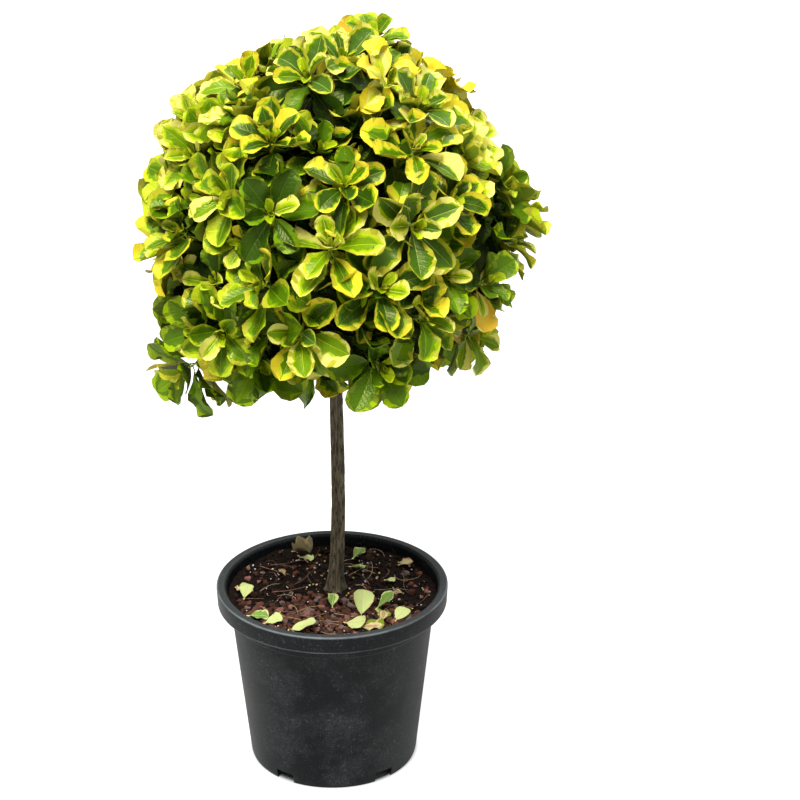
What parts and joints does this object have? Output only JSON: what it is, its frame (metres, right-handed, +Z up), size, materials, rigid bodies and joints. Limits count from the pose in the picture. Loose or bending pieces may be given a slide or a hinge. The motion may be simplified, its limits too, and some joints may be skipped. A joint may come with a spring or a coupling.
{
  "type": "standard lollipop topiary in a nursery pot",
  "caption": "Variegated evergreen spindle shrub grown as a standard: a ball of golden-edged leaves on a bare stem, in a round black plastic nursery pot with soil.",
  "frame": {"origin": "centre of the flat underside of the pot, where the plant stands", "axes": "+Z up along the pot's axis, -Y towards the front of the plant, +X to its right"},
  "size_m": [0.4677, 0.457, 0.9343],
  "materials": {
    "black_plastic": "matt moulded black polypropylene with fine scuffs",
    "peat": "moist dark peat mix with bark granules",
    "bark": "finely fissured grey-brown bark",
    "leafage": "glossy leathery leaves, green with golden edges"
  },
  "bodies": {
    "root": {"pot": "black_plastic", "potting_soil": "peat", "trunk": "bark", "bough_top": "bark", "bough_upper_1": "bark", "bough_upper_2": "bark", "bough_upper_3": "bark", "bough_upper_4": "bark", "bough_upper_5": "bark", "bough_lower_1": "bark", "bough_lower_2": "bark", "bough_lower_3": "bark", "bough_lower_4": "bark", "bough_lower_5": "bark", "bough_lower_6": "bark", "foliage_top": "leafage", "foliage_upper_1": "leafage", "foliage_upper_2": "leafage", "foliage_upper_3": "leafage", "foliage_upper_4": "leafage", "foliage_upper_5": "leafage", "foliage_lower_1": "leafage", "foliage_lower_2": "leafage", "foliage_lower_3": "leafage", "foliage_lower_4": "leafage", "foliage_lower_5": "leafage", "foliage_lower_6": "leafage"}
  },
  "joints": []
}
